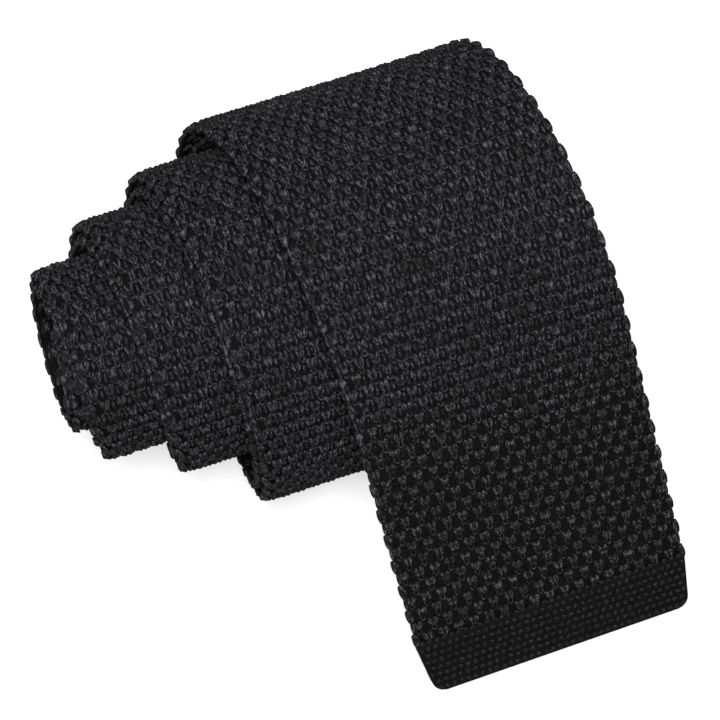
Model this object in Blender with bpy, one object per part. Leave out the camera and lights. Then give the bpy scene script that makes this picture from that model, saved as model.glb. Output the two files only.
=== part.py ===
"""Rolled knitted necktie, folded in two and wound from the fold, with its wide end leaning down."""
import math

import bmesh
import bpy
import numpy as np

MM = 0.001

# Cloth
THICKNESS = 2.4           # one layer of double knit
LAYER_GAP = 0.6           # air between the wide layer and the narrow layer behind it
EDGE_ROUND = 0.7          # softened long edges
CUT_GAP = 0.3             # air between two neighbouring lengths of the same layer

# Roll, listed at every half turn from the core outward. Station 0 is the fourth turn's crest.
FIRST_STATION = -2
CORE_EYE = 4.1            # radius of the hole at the very middle
TURN_SLACK = (-0.6, 7.9, -6.2, 7.0, -5.6, 5.7, -0.7, 1.1, 2.2)   # air added by each half turn
TURN_SHIFTS = (-31.0, -32.8, -31.5, -28.9, -20.1, -14.6, -5.8, -0.1, 8.2, 19.9)
CREST_ANGLE = -62.0       # degrees from straight up, positive towards the front
LAST_FULL_TURN = 4        # station of the crest before the roll's lowest point
BOTTOM_SAG = 0.2          # how far the roll's weight flattens it on the table

# Widths of the wide layer and of the narrow layer
BLADE_WIDTH = 60.0
BLADE_WIDTH_CORE = 40.0
BLADE_TAPER_FROM = 3.5    # station where the wide layer reaches full width
TAIL_WIDTH = 48.0
TAIL_WIDTH_CORE = 38.0
TAIL_LEAD = 0.8
TAIL_END_INSET = 3.5
TAIL_TUCK_STATIONS = (5.75, 6.10)

# Leaning flap and hem
LEAVE_STATION = 6.676     # where the wide layer leaves the roll
HINGE_STATION = 6.0       # where the last turn can be lifted
FLAP_DRIFT = 0.060        # sideways drift per length
FLAP_SPREAD = 0.5         # gained on each side by the hem
HEM_LENGTH = 12.5
HEM_NARROWING = 1.7       # lost on each side along the hem
HEM_CORNER = 2.5
TAIL_END_STATION = 6.25
TAIL_HEM_ARC = 11.0

# Stations where the roll is divided into lengths that slide along the roll axis
SLIDE_STATIONS = (-0.32, 1.68, 3.68, 5.68)

# Small pieces on the back of the wide end
KEEPER_STATION = 6.40
KEEPER_ARC = 8.0
KEEPER_LENGTH = 34.0
KEEPER_THICKNESS = 0.8
TACK_LENGTH = 1.2
TACK_THICKNESS = 0.5
LABEL_STATION = 6.56
LABEL_ARC = 16.0
LABEL_WIDTH = 26.0
LABEL_THICKNESS = 0.4
BACK_GAP = 0.3
SEAM_WIDTH = 1.6
SEAM_HEIGHT = 0.5

# Mesh
STATION_STEP = 13.0       # degrees between two rings on the roll
FLAP_RINGS = 5
CORNER_RINGS = 5

BLACK_KNIT = (0.022, 0.022, 0.027, 1.0)
HEM_KNIT = (0.014, 0.014, 0.018, 1.0)
THREAD = (0.016, 0.016, 0.019, 1.0)
LABEL = (0.05, 0.05, 0.055, 1.0)


def clear_scene():
    """Remove every object, mesh and material of the starting scene."""
    for item in list(bpy.data.objects):
        bpy.data.objects.remove(item, do_unlink=True)
    for mesh in list(bpy.data.meshes):
        bpy.data.meshes.remove(mesh)
    for material in list(bpy.data.materials):
        bpy.data.materials.remove(material)


def material(name, colour, roughness):
    """Return a Principled material."""
    made = bpy.data.materials.new(name)
    made.use_nodes = True
    shader = made.node_tree.nodes["Principled BSDF"]
    shader.inputs["Base Color"].default_value = colour
    shader.inputs["Roughness"].default_value = roughness
    made.diffuse_color = colour
    return made


def listed(values, station):
    """Read a list of half-turn values smoothly at any station."""
    place = min(max(station - FIRST_STATION, 0.0), len(values) - 1.0)
    index = min(int(place), len(values) - 2)
    part = place - index
    before = values[max(index - 1, 0)]
    start = values[index]
    end = values[index + 1]
    after = values[min(index + 2, len(values) - 1)]
    leave = (end - before) / (2.0 if index > 0 else 1.0)
    arrive = (after - start) / (2.0 if index + 2 < len(values) else 1.0)
    square = part * part
    cube = square * part
    return ((2.0 * cube - 3.0 * square + 1.0) * start + (cube - 2.0 * square + part) * leave
            + (3.0 * square - 2.0 * cube) * end + (cube - square) * arrive)


def turn_radii():
    """Outer radius at every listed station, each half turn lying on the layers inside it."""
    radii = [CORE_EYE + 2.0 * THICKNESS + LAYER_GAP]
    for slack in TURN_SLACK:
        radii.append(radii[-1] + THICKNESS + LAYER_GAP + slack)
    return radii


def turn_angle(station):
    """Angle of a station about the roll axis, from straight up towards the front."""
    return math.radians(CREST_ANGLE + 180.0 * station)


def axis_height():
    """Height of the roll axis, with the last full turn pressed flat on the table."""
    bottom = LAST_FULL_TURN + (180.0 - CREST_ANGLE) / 180.0
    return listed(turn_radii(), bottom) - BOTTOM_SAG


def outer_radius(station):
    """Radius of the wide layer's outer face, flattened where it rests on the table."""
    radius = listed(turn_radii(), station)
    down = -math.cos(turn_angle(station))
    if down > 0.0:
        radius = min(radius, axis_height() / down)
    return radius


def roll_point(station, depth):
    """Front and up position of a point under the wide layer's outer face."""
    radius = outer_radius(station) - depth
    angle = turn_angle(station)
    return radius * math.sin(angle), axis_height() + radius * math.cos(angle)


def leaving_line():
    """Start point and direction of the straight flap, in front and up coordinates."""
    step = 0.002
    start = np.array(roll_point(LEAVE_STATION, 0.0))
    before = np.array(roll_point(LEAVE_STATION - step, 0.0))
    direction = start - before
    return start, direction / np.linalg.norm(direction)


def flap_length():
    """Length from the roll to the hem's edge, whose back corner touches the table."""
    start, direction = leaving_line()
    return (start[1] - THICKNESS * direction[0]) / -direction[1]


def flap_point(length, depth):
    """Front and up position of a point on the flap at a length from the roll."""
    start, direction = leaving_line()
    outward = np.array((-direction[1], direction[0]))
    place = start + direction * length - outward * depth
    return place[0], place[1]


def blade_width(station):
    """Width of the wide layer, narrowing towards the neck at the core."""
    share = (station - FIRST_STATION) / (BLADE_TAPER_FROM - FIRST_STATION)
    share = min(max(share, 0.0), 1.0)
    return BLADE_WIDTH_CORE + (BLADE_WIDTH - BLADE_WIDTH_CORE) * share


def tail_width(station):
    """Width of the narrow layer, widening towards its own end."""
    share = (station - FIRST_STATION) / (TAIL_END_STATION - FIRST_STATION)
    return TAIL_WIDTH_CORE + (TAIL_WIDTH - TAIL_WIDTH_CORE) * min(max(share, 0.0), 1.0)


def blade_sides(station):
    """Left and right edge of the wide layer along the roll axis."""
    left = listed(TURN_SHIFTS, station) - BLADE_WIDTH / 2.0
    return left, left + blade_width(station)


def tail_sides(station):
    """Edges of the narrow layer, which shows just past the wide layer's left edge but for its tucked end."""
    start, end = TAIL_TUCK_STATIONS
    tucked = min(max((station - start) / (end - start), 0.0), 1.0)
    left = blade_sides(station)[0] - TAIL_LEAD + (TAIL_LEAD + TAIL_END_INSET) * tucked
    return left, left + tail_width(station)


def flap_sides(length):
    """Left and right edge of the flap, with the hem's rounded corners."""
    left, right = blade_sides(LEAVE_STATION)
    drift = FLAP_DRIFT * length
    narrow = -FLAP_SPREAD * length / flap_length()
    into_hem = length - (flap_length() - HEM_LENGTH)
    if into_hem > 0.0:
        narrow += HEM_NARROWING * into_hem / HEM_LENGTH
    into_corner = length - (flap_length() - HEM_CORNER)
    if into_corner > 0.0:
        narrow += HEM_CORNER - math.sqrt(max(HEM_CORNER ** 2 - into_corner ** 2, 0.0))
    return left + drift + narrow, right + drift - narrow


def base_centre():
    """Middle of the whole tie's outline on the table, along the roll and towards the front."""
    lefts = []
    rights = []
    fronts = [flap_point(flap_length(), 0.0)[0]]
    for station in roll_places(FIRST_STATION, LEAVE_STATION):
        left, right = blade_sides(station)
        lefts.append(left)
        rights.append(right)
        fronts.append(roll_point(station, 0.0)[0])
    lefts.append(flap_sides(flap_length() - HEM_LENGTH)[0])
    rights.append(flap_sides(flap_length() - HEM_LENGTH)[1])
    return (min(lefts) + max(rights)) / 2.0, (min(fronts) + max(fronts)) / 2.0


def to_world(along, front, up):
    """Place a point given along the roll, towards the front and up, in metres."""
    return (MM * (along - CENTRE[0]), -MM * (front - CENTRE[1]), MM * up)


def section(left, right, top, bottom, rounding):
    """Eight corners of a strip's cross-section as (along, depth) pairs."""
    soft = min(rounding, (bottom - top) * 0.35)
    return ((left, top + soft), (left + soft, top), (right - soft, top), (right, top + soft),
            (right, bottom - soft), (right - soft, bottom), (left + soft, bottom),
            (left, bottom - soft))


def strip(name, places, place_of, sides_of, top, bottom, finish, rounding=EDGE_ROUND):
    """Build one closed strip through a row of places."""
    rings = []
    for place in places:
        left, right = sides_of(place)
        ring = []
        for along, depth in section(left, right, top, bottom, rounding):
            front, up = place_of(place, depth)
            ring.append(to_world(along, front, up))
        rings.append(ring)
    return closed_tube(name, rings, finish)


def closed_tube(name, rings, finish):
    """Skin a row of equal rings and close both ends."""
    count = len(rings[0])
    corners = [corner for ring in rings for corner in ring]
    faces = []
    for index in range(len(rings) - 1):
        for side in range(count):
            after = (side + 1) % count
            low = index * count
            faces.append((low + side, low + after, low + count + after, low + count + side))
    faces.append(tuple(range(count)))
    faces.append(tuple((len(rings) - 1) * count + side for side in range(count)))
    mesh = bpy.data.meshes.new(name)
    mesh.from_pydata(corners, [], faces)
    work = bmesh.new()
    work.from_mesh(mesh)
    bmesh.ops.triangulate(work, faces=work.faces)
    bmesh.ops.recalc_face_normals(work, faces=work.faces)
    if work.calc_volume(signed=True) < 0.0:
        bmesh.ops.reverse_faces(work, faces=work.faces)
    work.to_mesh(mesh)
    work.free()
    made = bpy.data.objects.new(name, mesh)
    made.data.materials.append(finish)
    bpy.context.scene.collection.objects.link(made)
    return made


def roll_places(first, last):
    """Stations from first to last, shortened by half a cut gap at both ends."""
    start = first + station_length(CUT_GAP / 2.0, first)
    end = last - station_length(CUT_GAP / 2.0, last)
    count = max(int(math.ceil((end - start) * 180.0 / STATION_STEP)), 1)
    return [start + (end - start) * index / count for index in range(count + 1)]


def station_length(length, station):
    """Share of a half turn that a length takes at a station."""
    return length / (math.pi * outer_radius(station))


def blade_length(name, first, last, finish):
    """One length of the wide layer on the roll."""
    return strip(name, roll_places(first, last), roll_point, blade_sides, 0.0, THICKNESS, finish)


def tail_length(name, first, last, finish):
    """One length of the narrow layer on the roll."""
    top = THICKNESS + LAYER_GAP
    return strip(name, roll_places(first, last), roll_point, tail_sides, top, top + THICKNESS,
                 finish)


def neck_fold(name, finish):
    """The neck folded over at the core, joining the wide layer to the narrow layer."""
    station = FIRST_STATION
    inner = LAYER_GAP / 2.0
    outer = inner + THICKNESS
    middle = THICKNESS + inner
    angle = turn_angle(station)
    outward = np.array((math.sin(angle), math.cos(angle)))
    back = np.array((-math.cos(angle), math.sin(angle)))
    centre = np.array(roll_point(station, middle)) + back * (CUT_GAP / 2.0)

    def place_of(turn, depth):
        reach = outer - depth
        place = centre + outward * reach * math.cos(turn) + back * reach * math.sin(turn)
        return place[0], place[1]

    def sides_of(turn):
        blade = blade_sides(station)
        tail = tail_sides(station)
        share = turn / math.pi
        return tuple(a + (b - a) * share for a, b in zip(blade, tail))

    turns = [math.pi * index / 10.0 for index in range(11)]
    return strip(name, turns, place_of, sides_of, 0.0, outer - inner, finish)


def flap_lengths(first, last, count):
    """Evenly spaced lengths along the flap."""
    return [first + (last - first) * index / count for index in range(count + 1)]


def flap(name, finish):
    """The straight length between the roll and the hem."""
    places = flap_lengths(CUT_GAP / 2.0, flap_length() - HEM_LENGTH - CUT_GAP / 2.0, FLAP_RINGS)
    return strip(name, places, flap_point, flap_sides, 0.0, THICKNESS, finish)


def hem(name, finish):
    """The dense hem that closes the wide end, with rounded corners."""
    places = flap_lengths(flap_length() - HEM_LENGTH + CUT_GAP / 2.0, flap_length() - HEM_CORNER, 2)
    for index in range(1, CORNER_RINGS + 1):
        turn = math.pi / 2.0 * index / CORNER_RINGS
        places.append(flap_length() - HEM_CORNER + HEM_CORNER * math.sin(turn))
    return strip(name, places, flap_point, flap_sides, 0.0, THICKNESS, finish)


def back_middle(station):
    """Middle of the wide layer at a station."""
    left, right = blade_sides(station)
    return (left + right) / 2.0


def back_patch(name, station, arc, width, top, thickness, shift, finish):
    """A flat piece lying on the back of the last turn."""
    half = station_length(arc / 2.0, station)
    places = [station - half, station, station + half]

    def sides_of(place):
        middle = back_middle(place) + shift
        return middle - width / 2.0, middle + width / 2.0

    return strip(name, places, roll_point, sides_of, top, top + thickness, finish)


def flap_seam(name, finish):
    """The raised seam down the middle of the flap's back."""
    places = flap_lengths(3.0, flap_length() - HEM_LENGTH - 1.0, FLAP_RINGS)

    def sides_of(length):
        left, right = flap_sides(length)
        middle = (left + right) / 2.0
        return middle - SEAM_WIDTH / 2.0, middle + SEAM_WIDTH / 2.0

    top = THICKNESS + BACK_GAP
    return strip(name, places, flap_point, sides_of, top, top + SEAM_HEIGHT, finish)


def pivot(name, along, front, up, parent=None):
    """An empty on a joint axis."""
    made = bpy.data.objects.new(name, None)
    made.empty_display_size = 0.01
    bpy.context.scene.collection.objects.link(made)
    made.location = to_world(along, front, up)
    bpy.context.view_layer.update()
    if parent is not None:
        attach(made, parent)
    return made


def attach(child, parent):
    """Parent without moving the child."""
    bpy.context.view_layer.update()
    child.parent = parent
    child.matrix_parent_inverse = parent.matrix_world.inverted()


def build():
    """Build every piece of the tie."""
    clear_scene()
    knit = material("knit", BLACK_KNIT, 0.85)
    dense = material("dense_knit", HEM_KNIT, 0.85)
    thread = material("thread", THREAD, 0.6)
    satin = material("label_satin", LABEL, 0.45)

    core_end, fourth_end, third_end, second_end = SLIDE_STATIONS
    hinge_front, hinge_up = roll_point(HINGE_STATION, -CUT_GAP / 2.0)
    lift = pivot("last_turn_pivot", 0.0, hinge_front, hinge_up)
    leave_front, leave_up = flap_point(0.0, -CUT_GAP / 2.0)
    flap_lift = pivot("flap_pivot", 0.0, leave_front, leave_up, lift)
    third = pivot("third_turn_axis", 0.0, 0.0, axis_height())
    fourth = pivot("fourth_turn_axis", 0.0, 0.0, axis_height(), third)
    core = pivot("core_axis", 0.0, 0.0, axis_height(), fourth)

    blade_length("blade_second_turn_upper", third_end, third_end + 1.0, knit)
    blade_length("blade_second_turn_lower", third_end + 1.0, second_end, knit)
    blade_length("blade_last_turn_rear", second_end, HINGE_STATION, knit)
    tail_length("tail_second_turn_upper", third_end, third_end + 1.0, knit)
    tail_length("tail_second_turn_lower", third_end + 1.0, second_end, knit)
    tail_end = TAIL_END_STATION - station_length(TAIL_HEM_ARC, TAIL_END_STATION)
    tail_length("tail_last_turn_rear", second_end, tail_end, knit)
    tail_length("tail_hem", tail_end, TAIL_END_STATION, dense)

    back = THICKNESS + BACK_GAP
    tack_top = back + KEEPER_THICKNESS + BACK_GAP
    tack_shift = KEEPER_LENGTH / 2.0 - 1.5
    last_turn = (
        blade_length("blade_last_turn_top", HINGE_STATION, LEAVE_STATION, knit),
        back_patch("keeper_loop", KEEPER_STATION, KEEPER_ARC, KEEPER_LENGTH, back,
                   KEEPER_THICKNESS, 0.0, knit),
        back_patch("keeper_tack_left", KEEPER_STATION, KEEPER_ARC - 2.0, TACK_LENGTH, tack_top,
                   TACK_THICKNESS, -tack_shift, thread),
        back_patch("keeper_tack_right", KEEPER_STATION, KEEPER_ARC - 2.0, TACK_LENGTH, tack_top,
                   TACK_THICKNESS, tack_shift, thread),
        back_patch("blank_label", LABEL_STATION, LABEL_ARC, LABEL_WIDTH, back,
                   LABEL_THICKNESS, 0.0, satin),
    )
    for piece in last_turn:
        attach(piece, lift)
    for piece in (flap("blade_flap", knit), hem("blade_hem", dense),
                  flap_seam("flap_seam_thread", thread)):
        attach(piece, flap_lift)

    groups = (
        ("third_turn", fourth_end, third_end, third),
        ("fourth_turn", core_end, fourth_end, fourth),
        ("core", FIRST_STATION, core_end, core),
    )
    for label, first, last, axis in groups:
        middle = (first + last) / 2.0
        attach(blade_length("blade_" + label + "_upper", first, middle, knit), axis)
        attach(blade_length("blade_" + label + "_lower", middle, last, knit), axis)
        attach(tail_length("tail_" + label + "_upper", first, middle, knit), axis)
        attach(tail_length("tail_" + label + "_lower", middle, last, knit), axis)
    attach(neck_fold("neck_fold", knit), core)
    bpy.context.view_layer.update()


CENTRE = base_centre()
build()
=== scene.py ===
"""Rolled black knitted necktie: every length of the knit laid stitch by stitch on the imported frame."""
import math

import bpy
import numpy as np
from mathutils import Matrix, Vector

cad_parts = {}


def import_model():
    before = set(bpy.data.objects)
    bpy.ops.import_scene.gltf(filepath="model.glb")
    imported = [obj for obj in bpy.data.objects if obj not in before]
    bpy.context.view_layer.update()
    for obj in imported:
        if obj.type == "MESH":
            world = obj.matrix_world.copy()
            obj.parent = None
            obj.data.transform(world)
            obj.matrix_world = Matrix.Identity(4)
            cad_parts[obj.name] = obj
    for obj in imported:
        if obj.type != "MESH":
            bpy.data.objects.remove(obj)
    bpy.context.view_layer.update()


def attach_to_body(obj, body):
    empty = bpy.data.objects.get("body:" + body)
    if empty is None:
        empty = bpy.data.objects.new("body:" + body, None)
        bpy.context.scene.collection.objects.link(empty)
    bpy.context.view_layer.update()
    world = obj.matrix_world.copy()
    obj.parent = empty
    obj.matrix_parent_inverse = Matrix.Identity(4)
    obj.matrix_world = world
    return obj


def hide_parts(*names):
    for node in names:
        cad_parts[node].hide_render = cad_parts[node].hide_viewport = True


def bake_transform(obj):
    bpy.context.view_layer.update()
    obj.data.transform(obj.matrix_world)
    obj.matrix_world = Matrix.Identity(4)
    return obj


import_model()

MM = 0.001

# Cloth, in millimetres
THICKNESS = 2.4           # one layer of double knit
LAYER_GAP = 0.6           # air between the wide layer and the narrow layer behind it
EDGE = THICKNESS / 2.0    # the knit turns round its long edges at this radius
PLY = 0.7                 # the closed under-knit that carries the raised stitches
PLY_TRIM = 0.55           # the under-knit ends this far inside the knit's edge
PLY_ROUND = 0.25          # and its rims are rounded by this
PLY_STEP = 2.2            # between two rows of its mesh
COLUMN = 3.33             # between two columns of stitches
ROW = 3.1                 # between two rows, each offset by half a column
FRONT_MARGIN = EDGE + 0.5    # from the edge to the middle of the first stitch, outside
BACK_MARGIN = EDGE + 0.9     # and inside the turn
OPENING_LENGTH = 24.0     # over this much of the flap the knit opens as it hangs
OPENING_DELAY = 2.0       # after the cloth has left the roll
OPENING_STEPS = 6
HEM_ROW_GAP = 1.1         # the last row of stitches lies this far from the hem
HEM_TRIM = 0.10
HEM_PLY = THICKNESS - 0.7
HEM_ROUND = 0.7
HEM_COLUMN = 1.6          # the hem is knitted about twice as fine
HEM_ROW = 1.65
HEM_MARGIN = 0.75

# Roll, listed at every half turn from the core outward. Station 0 is the fourth turn's crest.
FIRST_STATION = -2
CORE_EYE = 4.1            # radius of the hole at the very middle
TURN_SLACK = (-0.6, 7.9, -6.2, 7.0, -5.6, 5.7, -0.7, 1.1, 2.2)   # air added by each half turn
TURN_SHIFTS = (-31.0, -32.8, -31.5, -28.9, -20.1, -14.6, -5.8, -0.1, 8.2, 19.9)
CREST_ANGLE = -62.0       # degrees from straight up, positive towards the front
LAST_FULL_TURN = 4        # station of the crest before the roll's lowest point
BOTTOM_SAG = 0.2          # how far the roll's weight flattens it on the table
STATION_PARTS = 100       # points for each half turn
CORE_SPLIT_STATION = -1.16
SLIDE_STATIONS = (-0.32, 1.68, 3.68, 5.68)   # the roll is divided here, and halfway between
LIFT_STATION = 6.0        # the last turn is lifted here
SPLIT_STATION = 6.35      # the last turn's knit is made in two lengths, which meet here
HINGE_REACH = 9.0         # the span on either side of a hinge, passed on as bend points
EDGE_DROOP = 0.7          # the left edge of every turn hangs in towards the turn below by this much
DROOP_WIDTH = 4.0         # over this much of its width
CREST_RISE = 0.8          # the last turn's right side stands this much prouder at its crest

# Widths of the wide layer and of the narrow layer
BLADE_WIDTH = 60.0
BLADE_WIDTH_CORE = 40.0
BLADE_TAPER_FROM = 3.5    # station where the wide layer reaches full width
TAIL_WIDTH = 48.0
TAIL_WIDTH_CORE = 38.0
TAIL_LEAD = 0.8           # the narrow layer shows this far past the wide layer's left edge
TAIL_END_INSET = 3.5      # and its tucked end lies this far inside it
TAIL_TUCK_STATIONS = (5.75, 6.10)
TAIL_END_STATION = 6.25
TAIL_HEM_ARC = 11.0

# Leaning flap and hem
LEAVE_STATION = 6.676     # where the wide layer leaves the roll
FLAP_POINTS = 285
FLAP_DRIFT = 0.060        # sideways drift per length
FLAP_SPREAD = 0.5         # gained on each side by the hem
HEM_LENGTH = 12.5
HEM_NARROWING = 1.7       # lost on each side along the hem
HEM_CORNER = 2.5

# Small pieces on the back of the wide end
KEEPER_STATION = 6.40
KEEPER_ARC = 8.0
KEEPER_LENGTH = 34.0
KEEPER_DEPTH = 2.85       # from the knit's outer face to the keeper's
KEEPER_THICKNESS = 0.7
TACK_ACROSS = 16.2        # from the blade's middle to each bar tack
LABEL_STATION = 6.56
LABEL_ARC = 16.0
LABEL_WIDTH = 26.0
LABEL_DEPTH = 2.8
LABEL_THICKNESS = 0.4
SEAM_STEP = 2.0


# ---------------------------------------------------------------- shape of the roll

def listed(values, station):
    """Read a list of half-turn values smoothly at any station."""
    place = min(max(station - FIRST_STATION, 0.0), len(values) - 1.0)
    index = min(int(place), len(values) - 2)
    part = place - index
    before = values[max(index - 1, 0)]
    start = values[index]
    end = values[index + 1]
    after = values[min(index + 2, len(values) - 1)]
    leave = (end - before) / (2.0 if index > 0 else 1.0)
    arrive = (after - start) / (2.0 if index + 2 < len(values) else 1.0)
    square = part * part
    cube = square * part
    return ((2.0 * cube - 3.0 * square + 1.0) * start + (cube - 2.0 * square + part) * leave
            + (3.0 * square - 2.0 * cube) * end + (cube - square) * arrive)


def turn_radii():
    """Outer radius at every listed station."""
    radii = [CORE_EYE + 2.0 * THICKNESS + LAYER_GAP]
    for slack in TURN_SLACK:
        radii.append(radii[-1] + THICKNESS + LAYER_GAP + slack)
    return radii


RADII = turn_radii()
AXIS_HEIGHT = listed(RADII, LAST_FULL_TURN + (180.0 - CREST_ANGLE) / 180.0) - BOTTOM_SAG


def turn_angle(station):
    """Angle of a station about the roll axis, from straight up towards the front."""
    return math.radians(CREST_ANGLE + 180.0 * station)


def roll_point(station, depth):
    """Front and up position of a point under the wide layer's outer face."""
    angle = turn_angle(station)
    radius = listed(RADII, station)
    down = -math.cos(angle)
    if down > 0.0:
        radius = min(radius, AXIS_HEIGHT / down)
    radius -= depth
    return np.array((radius * math.sin(angle), AXIS_HEIGHT + radius * math.cos(angle)))


def blade_sides(station):
    """Left and right edge of the wide layer along the roll axis."""
    share = (station - FIRST_STATION) / (BLADE_TAPER_FROM - FIRST_STATION)
    share = min(max(share, 0.0), 1.0)
    left = listed(TURN_SHIFTS, station) - BLADE_WIDTH / 2.0
    return left, left + BLADE_WIDTH_CORE + (BLADE_WIDTH - BLADE_WIDTH_CORE) * share


def tail_sides(station):
    """Left and right edge of the narrow layer, which leads the wide layer's except at its tucked end."""
    share = (station - FIRST_STATION) / (TAIL_END_STATION - FIRST_STATION)
    start, end = TAIL_TUCK_STATIONS
    tucked = min(max((station - start) / (end - start), 0.0), 1.0)
    left = blade_sides(station)[0] - TAIL_LEAD + (TAIL_LEAD + TAIL_END_INSET) * tucked
    return left, left + TAIL_WIDTH_CORE + (TAIL_WIDTH - TAIL_WIDTH_CORE) * min(max(share, 0.0), 1.0)


FLAP_START = roll_point(LEAVE_STATION, 0.0)
FLAP_WAY = FLAP_START - roll_point(LEAVE_STATION - 0.002, 0.0)
FLAP_WAY = FLAP_WAY / np.linalg.norm(FLAP_WAY)
FLAP_OUT = np.array((-FLAP_WAY[1], FLAP_WAY[0]))
FLAP_LENGTH = (FLAP_START[1] - THICKNESS * FLAP_WAY[0]) / -FLAP_WAY[1]


def flap_sides(length):
    """Left and right edge of the flap, with the hem's rounded corners."""
    left, right = blade_sides(LEAVE_STATION)
    narrow = -FLAP_SPREAD * length / FLAP_LENGTH
    into_hem = length - (FLAP_LENGTH - HEM_LENGTH)
    if into_hem > 0.0:
        narrow += HEM_NARROWING * into_hem / HEM_LENGTH
    into_corner = length - (FLAP_LENGTH - HEM_CORNER)
    if into_corner > 0.0:
        narrow += HEM_CORNER - math.sqrt(max(HEM_CORNER ** 2 - into_corner ** 2, 0.0))
    return left + FLAP_DRIFT * length + narrow, right + FLAP_DRIFT * length - narrow


def make_layer(points, outwards, sides, way_depth):
    """A layer as rows from one end to the other, with the real length along its middle."""
    points = np.array(points)
    outwards = np.array(outwards)
    sides = np.array(sides)
    middle_line = points - outwards * way_depth
    steps = np.linalg.norm(np.diff(middle_line, axis=0), axis=1)
    return {
        "length": np.concatenate(([0.0], np.cumsum(steps))),
        "rows": np.column_stack((points, outwards, sides.mean(axis=1), np.diff(sides)[:, 0] / 2.0)),
    }


def roll_layer(last, top, sides_of):
    """Points, outward directions and sides along the roll, close enough for a smooth curve."""
    count = int(round((last - FIRST_STATION) * STATION_PARTS)) + 1
    stations = np.linspace(FIRST_STATION, last, count)
    points = [roll_point(station, top) for station in stations]
    outwards = [(math.sin(turn_angle(s)), math.cos(turn_angle(s))) for s in stations]
    return stations, points, outwards, [sides_of(station) for station in stations]


def hanging(stations):
    """How far the left edge hangs in at each station."""
    return np.interp(stations, (-1.2, -0.8, 6.2, LEAVE_STATION), (0.0, 1.0, 1.0, 0.0)) * EDGE_DROOP


def wide_layer():
    """The wide layer from the neck to the hem's edge."""
    stations, points, outwards, sides = roll_layer(LEAVE_STATION, 0.0, blade_sides)
    for length in np.linspace(0.0, FLAP_LENGTH, FLAP_POINTS)[1:]:
        points.append(FLAP_START + FLAP_WAY * length)
        outwards.append(FLAP_OUT)
        sides.append(flap_sides(length))
    layer = make_layer(points, outwards, sides, EDGE)
    layer["stations"] = stations
    straight = np.zeros(len(points) - len(stations))
    layer["droop"] = np.concatenate((hanging(stations), straight))
    rise = np.interp(stations, (5.9, 6.2, 6.5, LEAVE_STATION), (0.0, 1.0, 1.0, 0.0)) * CREST_RISE
    layer["rise"] = np.concatenate((rise, straight))
    return layer


def narrow_layer():
    """The narrow layer from the neck to its own end."""
    top = THICKNESS + LAYER_GAP
    stations, points, outwards, sides = roll_layer(TAIL_END_STATION, top, tail_sides)
    layer = make_layer(points, outwards, sides, EDGE)
    layer["stations"] = stations
    layer["droop"] = hanging(stations)
    layer["rise"] = np.zeros(len(stations))
    return layer


def fold_layer():
    """The neck folded over at the core, from the wide layer to the narrow layer."""
    reach = LAYER_GAP / 2.0 + THICKNESS
    angle = turn_angle(FIRST_STATION)
    outward = np.array((math.sin(angle), math.cos(angle)))
    back = np.array((-math.cos(angle), math.sin(angle)))
    centre = roll_point(FIRST_STATION, reach)
    wide = np.array(blade_sides(FIRST_STATION))
    narrow = np.array(tail_sides(FIRST_STATION))
    points = []
    outwards = []
    sides = []
    for turn in np.linspace(0.0, math.pi, 61):
        away = outward * math.cos(turn) + back * math.sin(turn)
        points.append(centre + away * reach)
        outwards.append(away)
        sides.append(wide + (narrow - wide) * turn / math.pi)
    return make_layer(points, outwards, sides, EDGE)


WIDE = wide_layer()
NARROW = narrow_layer()
FOLD = fold_layer()
ALL_SIDES = WIDE["rows"][:, 4:5] + WIDE["rows"][:, 5:6] * np.array((-1.0, 1.0))
CENTRE_ALONG = (ALL_SIDES.min() + ALL_SIDES.max()) / 2.0
CENTRE_FRONT = (WIDE["rows"][:, 0].min() + WIDE["rows"][:, 0].max()) / 2.0


def length_at(layer, station):
    """Real length from the neck to a station on the roll."""
    count = len(layer["stations"])
    return float(np.interp(station, layer["stations"], layer["length"][:count]))


def world(along, front, up):
    """Millimetres along the roll, to the front and up, as metres in the shared frame."""
    return np.column_stack((MM * (along - CENTRE_ALONG), -MM * (front - CENTRE_FRONT), MM * up))


def droop(layer, across, length, half):
    """How far a point hangs in near a turn's left edge, less how far it rises on its right side."""
    into = np.clip((-across - half + DROOP_WIDTH) / DROOP_WIDTH, 0.0, 1.1)
    right = np.clip(across / half, 0.0, 1.1)
    hang = np.interp(length, layer["length"], layer["droop"]) * into * into
    return hang - np.interp(length, layer["length"], layer["rise"]) * right * right


def lay(layer, across, length, depth):
    """Lay flat points on a layer: across from its middle, along its length, and under its outer face."""
    row = [np.interp(length, layer["length"], layer["rows"][:, k]) for k in range(6)]
    if "droop" in layer:
        depth = depth + droop(layer, across, length, row[5])
    return world(row[4] + across, row[0] - row[2] * depth, row[1] - row[3] * depth)


def lay_round(layer, across, length, height):
    """Lay knit on a layer's outer face and on round its two long edges."""
    half = np.interp(length, layer["length"], layer["rows"][:, 5])
    flat = half - EDGE
    past = np.maximum(np.abs(across) - flat, 0.0)
    turn = np.minimum(past / EDGE, math.pi)
    beyond = np.maximum(past - math.pi * EDGE, 0.0)
    reach = EDGE + height
    inside = np.minimum(np.abs(across), flat)
    place = np.sign(across) * (inside + reach * np.sin(turn) - beyond)
    return lay(layer, place, length, EDGE - reach * np.cos(turn))


def point_at(layer, length):
    """The middle of a layer at a length, as a point in the shared frame."""
    place = lay(layer, np.zeros(1), np.array([length]), np.array([EDGE]))[0]
    return tuple(float(value) for value in place)


# ---------------------------------------------------------------- colours and materials

def colour(code):
    """A six-digit sRGB colour as linear red, green, blue and alpha."""
    made = []
    for index in (0, 2, 4):
        value = int(code[index:index + 2], 16) / 255.0
        made.append(value / 12.92 if value <= 0.04045 else ((value + 0.055) / 1.055) ** 2.4)
    return (*made, 1.0)


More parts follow.
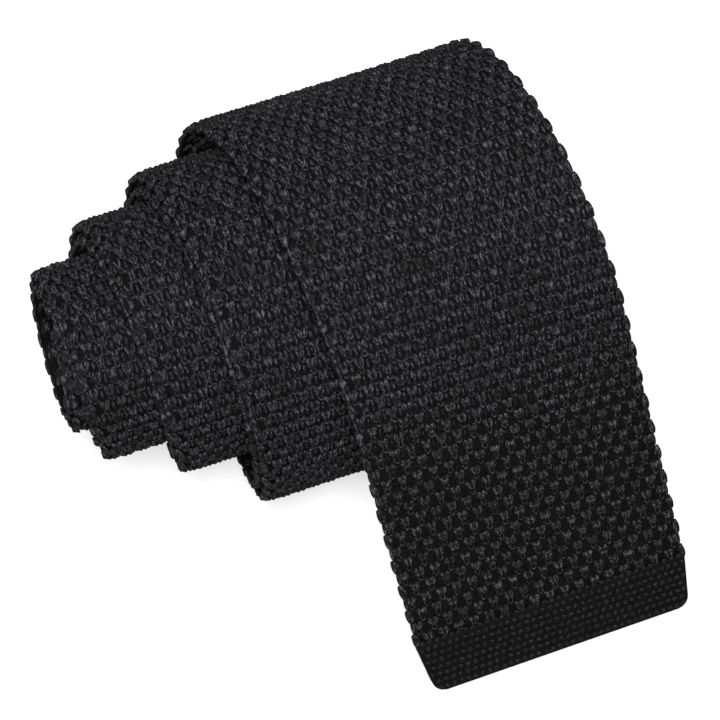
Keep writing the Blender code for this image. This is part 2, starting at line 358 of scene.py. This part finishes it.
def add_node(tree, kind, settings, links=()):
    """Add one node with its settings and links."""
    made = tree.nodes.new(kind)
    for name, value in settings.items():
        if isinstance(name, str) and hasattr(made, name):
            setattr(made, name, value)
        else:
            made.inputs[name].default_value = value
    for name, source in links:
        tree.links.new(source, made.inputs[name])
    return made


def ramp(made, stops):
    """Set the stops of a colour ramp."""
    elements = made.color_ramp.elements
    while len(elements) < len(stops):
        elements.new(0.5)
    for element, (place, code) in zip(elements, stops):
        element.position = place
        element.color = colour(code)
    return made


def new_material(name):
    """An empty node material and its output."""
    made = bpy.data.materials.new(name)
    made.use_nodes = True
    made.node_tree.nodes.clear()
    output = add_node(made.node_tree, "ShaderNodeOutputMaterial", {})
    return made, made.node_tree, output


def yarn_material(name, dark, middle, light, sheen, filaments):
    """Spun filament yarn: fine fibres run along each stitch in a random tone, and a few of them catching
    the light are glints painted at the light end of the colour ramp.
    """
    made, tree, output = new_material(name)
    uv = add_node(tree, "ShaderNodeUVMap", {"uv_map": "yarn"})
    shade = add_node(tree, "ShaderNodeAttribute", {"attribute_name": "stitch"})
    offset = add_node(tree, "ShaderNodeVectorMath", {"operation": "MULTIPLY", 1: (37.0, 23.0, 11.0)},
                      [(0, shade.outputs["Vector"])])
    place = add_node(tree, "ShaderNodeVectorMath", {"operation": "ADD"},
                     [(0, uv.outputs["UV"]), (1, offset.outputs["Vector"])])
    stretch = add_node(tree, "ShaderNodeMapping",
                       {"Scale": (filaments, 4.0, 1.0), "Rotation": (0, 0, 0.05)},
                       [("Vector", place.outputs["Vector"])])
    fibres = add_node(tree, "ShaderNodeTexNoise",
                      {"noise_dimensions": "2D", "Scale": 1.0, "Detail": 3.0, "Roughness": 0.6},
                      [("Vector", stretch.outputs["Vector"])])
    coords = add_node(tree, "ShaderNodeTexCoord", {})
    fuzz = add_node(tree, "ShaderNodeTexNoise", {"Scale": 3600.0, "Detail": 2.0, "Roughness": 0.7},
                    [("Vector", coords.outputs["Object"])])
    strands = add_node(tree, "ShaderNodeMath", {"operation": "MULTIPLY_ADD", 1: 0.45},
                       [(0, fuzz.outputs["Fac"])])
    long_fibres = add_node(tree, "ShaderNodeMath", {"operation": "MULTIPLY", 1: 0.55},
                           [(0, fibres.outputs["Fac"])])
    tree.links.new(long_fibres.outputs["Value"], strands.inputs[2])
    # The dark and middle stops are the fibres' random tone; the light stop is a painted glint on the
    # brightest fibres.
    tone = ramp(add_node(tree, "ShaderNodeValToRGB", {}, [("Fac", strands.outputs["Value"])]),
                ((0.40, dark), (0.52, middle), (0.64, light)))
    vary = add_node(tree, "ShaderNodeMapRange", {"To Min": 0.9, "To Max": 1.1},
                    [("Value", shade.outputs["Fac"])])
    tinted = add_node(tree, "ShaderNodeVectorMath", {"operation": "SCALE"},
                      [(0, tone.outputs["Color"]), ("Scale", vary.outputs["Result"])])
    bump = add_node(tree, "ShaderNodeBump", {"Strength": 1.0, "Distance": 0.0002},
                    [("Height", strands.outputs["Value"])])
    shader = add_node(tree, "ShaderNodeBsdfPrincipled",
                      {"Roughness": 0.65, "IOR": 1.5, "Specular IOR Level": 0.05,
                       "Sheen Weight": sheen, "Sheen Roughness": 0.4, "Sheen Tint": colour("c8c8d6")},
                      [("Base Color", tinted.outputs["Vector"]), ("Normal", bump.outputs["Normal"])])
    tree.links.new(shader.outputs["BSDF"], output.inputs["Surface"])
    return made


def ply_material():
    """The under-knit seen between the stitches: the same yarn in deep shadow, its shadow painted into a
    near-black colour, with small ribs.
    """
    made, tree, output = new_material("under_knit_yarn_painted_shade")
    coords = add_node(tree, "ShaderNodeTexCoord", {})
    ribs = add_node(tree, "ShaderNodeTexNoise", {"Scale": 1900.0, "Detail": 2.0},
                    [("Vector", coords.outputs["Object"])])
    # Both stops are painted deep shade; the ribs only vary it at random.
    tone = ramp(add_node(tree, "ShaderNodeValToRGB", {}, [("Fac", ribs.outputs["Fac"])]),
                ((0.4, "020202"), (0.65, "080809")))
    bump = add_node(tree, "ShaderNodeBump", {"Strength": 0.8, "Distance": 0.0003},
                    [("Height", ribs.outputs["Fac"])])
    shader = add_node(tree, "ShaderNodeBsdfPrincipled",
                      {"Roughness": 0.85, "IOR": 1.5, "Specular IOR Level": 0.04},
                      [("Base Color", tone.outputs["Color"]), ("Normal", bump.outputs["Normal"])])
    tree.links.new(shader.outputs["BSDF"], output.inputs["Surface"])
    return made


def satin_material():
    """Woven polyester satin: long floats give a soft band of light across a dark ground, the band painted
    into the colour as sheen.
    """
    made, tree, output = new_material("label_black_satin")
    uv = add_node(tree, "ShaderNodeUVMap", {"uv_map": "UVMap"})
    weave = add_node(tree, "ShaderNodeTexWave", {"Scale": 22.0, "Distortion": 0.4},
                     [("Vector", uv.outputs["UV"])])
    # The waves are the weave's floats; their lighter stop is painted sheen.
    tone = ramp(add_node(tree, "ShaderNodeValToRGB", {}, [("Fac", weave.outputs["Fac"])]),
                ((0.2, "1c1c20"), (0.8, "34343a")))
    bump = add_node(tree, "ShaderNodeBump", {"Strength": 0.35, "Distance": 0.00008},
                    [("Height", weave.outputs["Fac"])])
    shader = add_node(tree, "ShaderNodeBsdfPrincipled",
                      {"Roughness": 0.38, "IOR": 1.5, "Sheen Weight": 0.2},
                      [("Base Color", tone.outputs["Color"]), ("Normal", bump.outputs["Normal"])])
    tree.links.new(shader.outputs["BSDF"], output.inputs["Surface"])
    return made


def paper_material():
    """Matt pale studio paper, faintly mottled, with a plain glow that lifts its shadows towards white."""
    made, tree, output = new_material("studio_pale_paper")
    coords = add_node(tree, "ShaderNodeTexCoord", {})
    mottle = add_node(tree, "ShaderNodeTexNoise", {"Scale": 40.0}, [("Vector", coords.outputs["Object"])])
    tone = ramp(add_node(tree, "ShaderNodeValToRGB", {}, [("Fac", mottle.outputs["Fac"])]),
                ((0.3, "848484"), (0.7, "888888")))
    seen = add_node(tree, "ShaderNodeLightPath", {})
    glow = add_node(tree, "ShaderNodeMath", {"operation": "MULTIPLY", 1: 0.6},
                    [(0, seen.outputs["Is Camera Ray"])])
    shader = add_node(tree, "ShaderNodeBsdfPrincipled",
                      {"Roughness": 0.9, "Specular IOR Level": 0.1, "Emission Color": colour("ffffff")},
                      [("Base Color", tone.outputs["Color"]), ("Emission Strength", glow.outputs["Value"])])
    tree.links.new(shader.outputs["BSDF"], output.inputs["Surface"])
    return made


# The last colour of each yarn is its painted glint.
YARN = yarn_material("knit_black_filament_yarn", "030304", "101013", "3c3c42", 0.0, 9.0)
HEM_YARN = yarn_material("hem_fine_black_yarn", "040405", "0e0e11", "28282e", 0.0, 6.0)
# The hem's ground strip is the hem's black yarn made darker: painted shade under the loops.
HEM_GROUND_PAINTED_SHADE = yarn_material("hem_ground_yarn_painted_shade", "020203", "060607", "0f0f12", 0.0, 6.0)
THREAD = yarn_material("sewing_thread_black", "0e0e11", "1c1c21", "3c3c44", 0.03, 4.0)
UNDER_KNIT_PAINTED_SHADE = ply_material()
SATIN = satin_material()
PAPER = paper_material()


# ---------------------------------------------------------------- stitches, modelled once

def clear_choice():
    """Nothing selected, out of edit mode."""
    if bpy.context.object and bpy.context.object.mode != "OBJECT":
        bpy.ops.object.mode_set(mode="OBJECT")
    bpy.ops.object.select_all(action="DESELECT")


def yarn_bump(name, around, rings, size, place, lean):
    """One rounded length of yarn, its long way up the stitch, as (corners, faces, pattern places)."""
    clear_choice()
    bpy.ops.mesh.primitive_uv_sphere_add(segments=around, ring_count=rings, radius=1.0)
    made = bpy.context.object
    made.name = name
    bpy.ops.object.mode_set(mode="EDIT")
    bpy.ops.mesh.select_all(action="SELECT")
    bpy.ops.transform.rotate(value=math.pi / 2.0, orient_axis="X", center_override=(0.0, 0.0, 0.0))
    bpy.ops.transform.resize(value=size, center_override=(0.0, 0.0, 0.0))
    bpy.ops.object.mode_set(mode="OBJECT")
    return taken(made, place, lean, False)


def yarn_ring(name, around, sides, radius, thick, place, lean):
    """One small loop of yarn, as (corners, faces, pattern places)."""
    clear_choice()
    bpy.ops.mesh.primitive_torus_add(major_segments=around, minor_segments=sides,
                                     major_radius=radius, minor_radius=thick)
    made = bpy.context.object
    made.name = name
    return taken(made, place, lean, True)


def taken(made, place, lean, swap):
    """Take a modelled stitch part out of the scene, leant about each axis and put in its place."""
    mesh = made.data
    corners = np.array([vertex.co for vertex in mesh.vertices])
    turn = np.array(Matrix.Rotation(lean[2], 3, "Z") @ Matrix.Rotation(lean[0], 3, "X"))
    corners = corners @ turn.T + np.array(place)
    faces = [list(polygon.vertices) for polygon in mesh.polygons]
    pattern = np.array([item.uv for item in mesh.uv_layers[0].data])
    if swap:
        pattern = pattern[:, ::-1]
    bpy.data.objects.remove(made, do_unlink=True)
    bpy.data.meshes.remove(mesh)
    return corners, faces, pattern


def joined(parts):
    """Several stitch parts as one stitch."""
    corners = []
    faces = []
    start = 0
    for part in parts:
        corners.append(part[0])
        faces.extend([[index + start for index in face] for face in part[1]])
        start += len(part[0])
    return np.concatenate(corners), faces, np.concatenate([part[2] for part in parts])


def shaped(part, change):
    """Move a part's corners by a rule that takes and returns x, y and z."""
    corners, faces, pattern = part
    return np.column_stack(change(corners[:, 0], corners[:, 1], corners[:, 2])), faces, pattern


def leg_rule(x, y, z):
    """Half of a heart-shaped stitch: a full shoulder leaning out, drawn in and down towards its foot."""
    low = np.clip(0.5 - y / 3.0, 0.0, 1.0)
    x = x * (1.0 - 0.36 * low) + 0.70 - 0.50 * low
    z = z - 0.50 - 0.40 * low * low - 0.30 * np.clip(y / 1.65 - 0.3, 0.0, 1.0)
    return x, y + 0.22, z


def loop_rule(x, y, z):
    """The small loop below a heart, longer than wide, round a dark hole."""
    return x, y * 1.25 - 1.30, z - 0.80 - 0.10 * y


def mirrored(part):
    """The same part on the other side of the stitch."""
    corners, faces, pattern = part
    other = []
    start = 0
    for face in faces:
        other.append(pattern[start:start + len(face)][::-1])
        start += len(face)
    return corners * np.array((-1.0, 1.0, 1.0)), [face[::-1] for face in faces], np.concatenate(other)


def heart_stitch(name, around, rings, size, loop_around, loop_sides):
    """Two legs make a heart, and a loop hangs under it between the next two hearts."""
    centre = (0.0, 0.0, 0.0)
    leg = shaped(yarn_bump(name + "_leg", around, rings, size, centre, centre), leg_rule)
    loop = shaped(yarn_ring(name + "_loop", loop_around, loop_sides, 0.56, 0.31, centre, centre), loop_rule)
    return [leg, mirrored(leg), loop]


def side_leg(size, height):
    """The dim yarn between two hearts."""
    return yarn_bump("side_leg", 4, 4, size, (COLUMN / 2.0, -0.35, height), (0.0, 0.0, 0.0))


def between(first, second, share):
    """A stitch part of the way from one to another that is built alike."""
    return first[0] * (1.0 - share) + second[0] * share, first[1], first[2]


def sunk_loop(x, y, z):
    """An open stitch's loop lies deeper than its heart."""
    return x, y, z - np.where(y < -0.95, 0.22, 0.0)


KNIT_STITCH = joined(heart_stitch("knit", 6, 5, (0.87, 1.52, 0.66), 6, 4)
                     + [side_leg((0.50, 1.12, 0.38), -0.94)])
OPEN_STITCH = shaped(joined(heart_stitch("open", 6, 5, (0.86, 1.20, 0.74), 6, 4)
                            + [side_leg((0.60, 1.30, 0.40), -1.32)]), sunk_loop)
PLAIN_STITCH = joined(heart_stitch("plain", 5, 4, (0.87, 1.52, 0.66), 5, 3))
EDGE_BUMP = yarn_bump("edge_bump", 6, 6, (1.35, 1.80, 0.72), (0.0, 0.0, -0.16), (0.0, 0.0, 0.0))
EDGE_DIP = yarn_bump("edge_dip", 6, 6, (1.05, 1.85, 0.62), (0.0, 0.0, -0.66), (0.0, 0.0, 0.0))
HEM_STITCH = yarn_bump("hem_arch", 6, 4, (0.78, 1.05, 0.45), (0.0, 0.0, -0.40), (0.62, 0.0, 0.0))
WHIP_STITCH = yarn_bump("whip_stitch", 6, 5, (0.35, 1.9, 0.30), (0.0, 0.0, 0.0), (0.0, 0.0, 0.5))


# ---------------------------------------------------------------- laying cloth and stitches

def new_object(name, corners, faces, pattern, shades, finish):
    """A smooth mesh object from corners, faces, pattern places and a shade for every corner."""
    mesh = bpy.data.meshes.new(name)
    mesh.vertices.add(len(corners))
    mesh.vertices.foreach_set("co", corners.astype(np.float32).ravel())
    sizes = np.array([len(face) for face in faces])
    mesh.loops.add(int(sizes.sum()))
    mesh.loops.foreach_set("vertex_index", np.concatenate([np.array(face) for face in faces]))
    mesh.polygons.add(len(faces))
    mesh.polygons.foreach_set("loop_start", np.concatenate(([0], np.cumsum(sizes)[:-1])))
    mesh.update(calc_edges=True)
    mesh.uv_layers.new(name="yarn").data.foreach_set("uv", pattern.astype(np.float32).ravel())
    mesh.attributes.new("stitch", "FLOAT", "POINT").data.foreach_set("value", shades.astype(np.float32))
    mesh.shade_smooth()
    mesh.materials.append(finish)
    made = bpy.data.objects.new(name, mesh)
    bpy.context.scene.collection.objects.link(made)
    return made


def stitch_rows(name, patches, finish, seed):
    """Lay stitches on a layer. A patch is (layer, stitch, across, length, side, size)."""
    random = np.random.default_rng(seed)
    corners = []
    faces = []
    patterns = []
    shades = []
    start = 0
    for layer, stitch, across, length, side, size in patches:
        if len(across) == 0:
            continue
        shape, stitch_faces, stitch_pattern = stitch
        count = len(across)
        points = len(shape)
        scale = size * random.uniform(0.95, 1.05, count)
        swing = random.uniform(-0.06, 0.06, count)
        x = shape[None, :, 0] * scale[:, None]
        y = shape[None, :, 1] * scale[:, None]
        lift = random.uniform(-0.05, 0.05, count)
        z = np.broadcast_to(shape[None, :, 2], (count, points)) + lift[:, None]
        turned_x = (x - y * swing[:, None]).ravel()
        turned_y = (y + x * swing[:, None]).ravel()
        at_length = np.repeat(length, points) - turned_y
        if side > 0:
            at_across = np.repeat(across, points) + turned_x
            corners.append(lay_round(layer, at_across, at_length, z.ravel()))
        else:
            at_across = np.repeat(across, points) - turned_x
            corners.append(lay(layer, at_across, at_length, THICKNESS + z.ravel()))
        for number in range(count):
            shift = start + number * points
            faces.extend([[index + shift for index in face] for face in stitch_faces])
        patterns.append(np.tile(stitch_pattern, (count, 1)))
        shades.append(np.repeat(random.uniform(0.0, 1.0, count), points))
        start += count * points
    return new_object(name, np.concatenate(corners), faces, np.concatenate(patterns),
                      np.concatenate(shades), finish)


def lattice(layer, first, last, column, row, margin, offset):
    """Middles of the stitches between two lengths, every other row half a column over."""
    across = []
    lengths = []
    for number in range(math.ceil((first - offset) / row), math.ceil((last - offset) / row)):
        length = number * row + offset
        half = float(np.interp(length, layer["length"], layer["rows"][:, 5])) - margin
        count = max(int(round(2.0 * half / column)), 1)
        step = 2.0 * half / count
        start = -half + (0.0 if number % 2 else 0.5 * step)
        places = [start + step * k for k in range(count + number % 2)]
        across.extend(places)
        lengths.extend([length] * len(places))
    return np.array(across), np.array(lengths)


def edge_places(layer, first, last, row, offset, turn, odd):
    """Middles of the edge stitches between two lengths, on both sides of every other row."""
    numbers = np.arange(math.ceil((first - offset) / row), math.ceil((last - offset) / row))
    numbers = numbers[numbers % 2 == odd]
    lengths = numbers * row + offset
    half = np.interp(lengths, layer["length"], layer["rows"][:, 5]) - EDGE + EDGE * turn
    return np.concatenate((-half, half)), np.concatenate((lengths, lengths))


def laid_grid(name, columns, rows, place):
    """A grid of cloth, whose flat places from -1 to 1 a rule lays on its layer."""
    clear_choice()
    bpy.ops.mesh.primitive_grid_add(x_subdivisions=columns, y_subdivisions=rows, size=2.0)
    made = bpy.context.object
    made.name = name
    flat = np.array([vertex.co for vertex in made.data.vertices])
    made.data.vertices.foreach_set("co", place(flat).astype(np.float32).ravel())
    made.data.update()
    return made


def thickened(made, thick, rounding, finish):
    """Give a laid grid its thickness, its rounded rims and its material."""
    thickness = made.modifiers.new("thickness", "SOLIDIFY")
    thickness.thickness = thick * MM
    thickness.offset = 0.0
    bpy.ops.object.modifier_apply(modifier=thickness.name)
    if rounding > 0.0:
        rims = made.modifiers.new("rims", "BEVEL")
        rims.width = rounding * MM
        rims.segments = 2
        rims.limit_method = "ANGLE"
        rims.angle_limit = math.radians(60.0)
        bpy.ops.object.modifier_apply(modifier=rims.name)
    bpy.ops.object.shade_smooth_by_angle(angle=math.radians(50.0))
    made.data.materials.clear()
    made.data.materials.append(finish)
    return made


def cloth(name, layer, lengths, columns, trim, thick, rounding, finish):
    """A closed strip of cloth inside a layer, with a row at each of the lengths."""
    rows = len(lengths) - 1

    def place(flat):
        row = np.rint((flat[:, 1] + 1.0) / 2.0 * rows).astype(int)
        length = np.array(lengths)[::-1][row]
        half = np.interp(length, layer["length"], layer["rows"][:, 5]) - trim
        return lay(layer, flat[:, 0] * half, length, np.full(len(flat), EDGE))

    return thickened(laid_grid(name, columns, rows, place), thick, rounding, finish)


def attach(piece, bodies, start=None, end=None):
    """Ride on one body; on more than one, only its transform is baked into its mesh."""
    if len(bodies) == 1:
        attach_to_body(piece, bodies[0])
    else:
        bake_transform(piece)


def knit_length(nodes, layer, first, last, bodies, bend=(), fine=True, open_from=math.inf):
    """One length of the knit: its under-knit, its stitches on both faces and round both edges."""
    name = nodes[0]
    count = max(int(round((last - first) / PLY_STEP)), 3)
    places = np.linspace(first, last, count + 1)
    # The under-knit's near-black colour is painted shade between the stitches.
    ply = cloth(name + "_ply", layer, places, 10, PLY_TRIM, PLY, PLY_ROUND, UNDER_KNIT_PAINTED_SHADE)
    offset = layer["offset"]
    across, lengths = lattice(layer, first, last, COLUMN, ROW, FRONT_MARGIN, offset)
    opening = np.clip((lengths - open_from) / OPENING_LENGTH, 0.0, 1.0)
    opening = np.rint(opening * OPENING_STEPS).astype(int)
    patches = []
    for step in range(OPENING_STEPS + 1):
        stitch = between(KNIT_STITCH, OPEN_STITCH, step / OPENING_STEPS) if fine else PLAIN_STITCH
        chosen = opening == step
        patches.append((layer, stitch, across[chosen], lengths[chosen], 1, 1.0))
    inner = lattice(layer, first, last, COLUMN, ROW, BACK_MARGIN, offset)
    bumps = edge_places(layer, first, last, ROW, offset, 0.85, 0)
    dips = edge_places(layer, first, last, ROW, offset, 1.2, 1)
    patches.append((layer, PLAIN_STITCH, *inner, -1, 1.0))
    patches.append((layer, EDGE_BUMP, *bumps, 1, 1.0))
    patches.append((layer, EDGE_DIP, *dips, 1, 1.0))
    stitches = stitch_rows(name + "_stitches", patches, YARN, len(name) * 7 + int(first))
    for piece in (ply, stitches):
        attach(piece, bodies, *[point_at(layer, place) for place in bend])
    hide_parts(*nodes)
    return ply, stitches


def at(station):
    """Real length of the wide layer at a station."""
    return length_at(WIDE, station)


HEM_START = WIDE["length"][-1] - HEM_LENGTH
TAIL_HEM_START = NARROW["length"][-1] - TAIL_HEM_ARC
WIDE["offset"] = (HEM_START - HEM_ROW_GAP) % ROW
NARROW["offset"] = (TAIL_HEM_START - HEM_ROW_GAP) % ROW
FOLD["offset"] = 0.0
LEAVE = at(LEAVE_STATION)
LIFT = at(LIFT_STATION)

# The lengths that both layers have, from the core outward.
core_end, fourth_end, third_end, second_end = SLIDE_STATIONS
TURN_LENGTHS = (
    ("core_upper", FIRST_STATION, CORE_SPLIT_STATION, ["core"]),
    ("core_lower", CORE_SPLIT_STATION, core_end, ["core", "fourth_turn"]),
    ("fourth_turn_upper", core_end, core_end + 1.0, ["fourth_turn"]),
    ("fourth_turn_lower", core_end + 1.0, fourth_end, ["fourth_turn", "third_turn"]),
    ("third_turn_upper", fourth_end, fourth_end + 1.0, ["third_turn"]),
    ("third_turn_lower", fourth_end + 1.0, third_end, ["third_turn", "outer_turn"]),
    ("second_turn_upper", third_end, third_end + 1.0, ["outer_turn"]),
    ("second_turn_lower", third_end + 1.0, second_end, ["outer_turn"]),
)


def turn_lengths(prefix, layer, fine):
    """The lengths of one layer up to the last turn. The neck goes with the first."""
    for name, start, end, bodies in TURN_LENGTHS:
        first = length_at(layer, start)
        last = length_at(layer, end)
        bend = (first, last) if len(bodies) > 1 else ()
        knit_length([prefix + name], layer, first, last, bodies, bend, fine)


NECK = knit_length(["neck_fold"], FOLD, 0.0, FOLD["length"][-1], ["core"], fine=False)
turn_lengths("blade_", WIDE, True)
knit_length(["blade_last_turn_rear"], WIDE, at(second_end), at(SPLIT_STATION), ["outer_turn", "last_turn"],
            (LIFT - HINGE_REACH, LIFT + HINGE_REACH))
knit_length(["blade_flap", "blade_last_turn_top"], WIDE, at(SPLIT_STATION), HEM_START,
            ["last_turn", "flap"], (LEAVE - HINGE_REACH, LEAVE + HINGE_REACH),
            open_from=LEAVE + OPENING_DELAY)
turn_lengths("tail_", NARROW, False)
knit_length(["tail_last_turn_rear"], NARROW, length_at(NARROW, second_end), TAIL_HEM_START, ["outer_turn"],
            fine=False)


def hem(name, layer, first, last, body):
    """A dense fine hem: a full closed strip under small staggered loops."""
    corner = last - HEM_CORNER
    turns = np.linspace(0.0, math.pi / 2.0, 7)[1:]
    places = np.concatenate((np.linspace(first, corner, 6), corner + HEM_CORNER * np.sin(turns)))
    # The strip's darker yarn is painted shade under the hem's loops.
    strip = cloth(name + "_ply", layer, places, 12, HEM_TRIM, HEM_PLY, HEM_ROUND, HEM_GROUND_PAINTED_SHADE)
    outer = lattice(layer, first - 0.6, last - 0.5, HEM_COLUMN, HEM_ROW, HEM_MARGIN, first)
    inner = lattice(layer, first + 0.5, last - 0.5, HEM_COLUMN, HEM_ROW, HEM_MARGIN, first)
    loops = stitch_rows(name + "_loops", [
        (layer, HEM_STITCH, *outer, 1, 1.0),
        (layer, HEM_STITCH, *inner, -1, 1.0)], HEM_YARN, 77)
    for piece in (strip, loops):
        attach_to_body(piece, body)
    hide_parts(name)


hem("blade_hem", WIDE, HEM_START, WIDE["length"][-1], "flap")
hem("tail_hem", NARROW, TAIL_HEM_START, NARROW["length"][-1], "outer_turn")


def back_patch(name, station, arc, width, depth, thick):
    """A small, slightly uneven piece of woven satin lying on the back of the last turn."""
    middle = at(station)

    def place(flat):
        length = middle - flat[:, 1] * arc / 2.0
        ease = 0.12 * np.sin(flat[:, 0] * 5.0) * np.cos(flat[:, 1] * 1.5)
        return lay(WIDE, flat[:, 0] * width / 2.0, length, depth + thick / 2.0 + ease)

    made = thickened(laid_grid(name + "_cloth", 16, 8, place), thick * 0.7, 0.0, SATIN)
    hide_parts(name)
    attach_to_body(made, "last_turn")
    return made


keeper = back_patch("keeper_loop", KEEPER_STATION, KEEPER_ARC, KEEPER_LENGTH, KEEPER_DEPTH,
                    KEEPER_THICKNESS)
label = back_patch("blank_label", LABEL_STATION, LABEL_ARC, LABEL_WIDTH, LABEL_DEPTH,
                   LABEL_THICKNESS)


def thread_stitches(name, node, across, lengths, body, size):
    """A row of short thread stitches on the back of the wide end, all at one place across it."""
    places = np.full(len(lengths), across)
    made = stitch_rows(name, [(WIDE, WHIP_STITCH, places, np.array(lengths), -1, size)], THREAD, 5)
    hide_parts(node)
    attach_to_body(made, body)


KEEPER_ROWS = [at(KEEPER_STATION) + step for step in (-3.0, -1.0, 1.0, 3.0)]
for side, across in (("left", -TACK_ACROSS), ("right", TACK_ACROSS)):
    tack = "keeper_tack_" + side
    thread_stitches(tack + "_stitches", tack, across, KEEPER_ROWS, "last_turn", 0.6)
SEAM_ROWS = np.arange(LEAVE + 4.0, HEM_START - SEAM_STEP, SEAM_STEP)
thread_stitches("flap_seam_stitches", "flap_seam_thread", 0.0, SEAM_ROWS, "flap", 0.7)


# ---------------------------------------------------------------- floor, light and camera

clear_choice()
bpy.ops.mesh.primitive_plane_add(size=6.0, location=(0.0, 0.0, -0.0006))
floor = bpy.context.object
floor.name = "studio_floor"
floor.data.materials.append(PAPER)


def soft_light(name, place, size, watts):
    """A large square light aimed at the tie."""
    clear_choice()
    aim = Vector((0.0, 0.0, 0.04)) - Vector(place)
    turn = aim.to_track_quat("-Z", "Y").to_euler()
    bpy.ops.object.light_add(type="AREA", location=place, rotation=turn)
    light = bpy.context.object
    light.name = name
    light.data.size = size
    light.data.energy = watts


soft_light("key_softbox", (-0.22, -0.45, 1.11), 0.5, 49.0)

# The studio is dim to the tie and white to the eye
sky = bpy.data.worlds.new("studio_white")
bpy.context.scene.world = sky
sky.use_nodes = True
sky.node_tree.nodes["Background"].inputs["Color"].default_value = colour("ffffff")
seen = add_node(sky.node_tree, "ShaderNodeLightPath", {})
glow = add_node(sky.node_tree, "ShaderNodeMath", {"operation": "MULTIPLY_ADD", 1: 0.85, 2: 0.12},
                [(0, seen.outputs["Is Camera Ray"])])
sky.node_tree.links.new(glow.outputs["Value"], sky.node_tree.nodes["Background"].inputs["Strength"])

# The camera looks down at the roll from its left front, turned a little in the hand
CAMERA_TURN = (Matrix.Rotation(math.radians(-21.66), 3, "Z") @ Matrix.Rotation(math.radians(31.33), 3, "X")
               @ Matrix.Rotation(math.radians(0.8), 3, "Z"))
clear_choice()
CAMERA_PLACE = (-0.1202 - MM * CENTRE_ALONG, -0.3134 + MM * CENTRE_FRONT, 0.5611)
bpy.ops.object.camera_add(location=CAMERA_PLACE, rotation=CAMERA_TURN.to_euler())
camera = bpy.context.object
camera.name = "camera"
camera.data.lens = 147.5
camera.data.sensor_width = 36.0
camera.data.clip_start = 0.01
camera.data.clip_end = 20.0
bpy.context.scene.camera = camera
bpy.context.scene.view_settings.view_transform = "Standard"
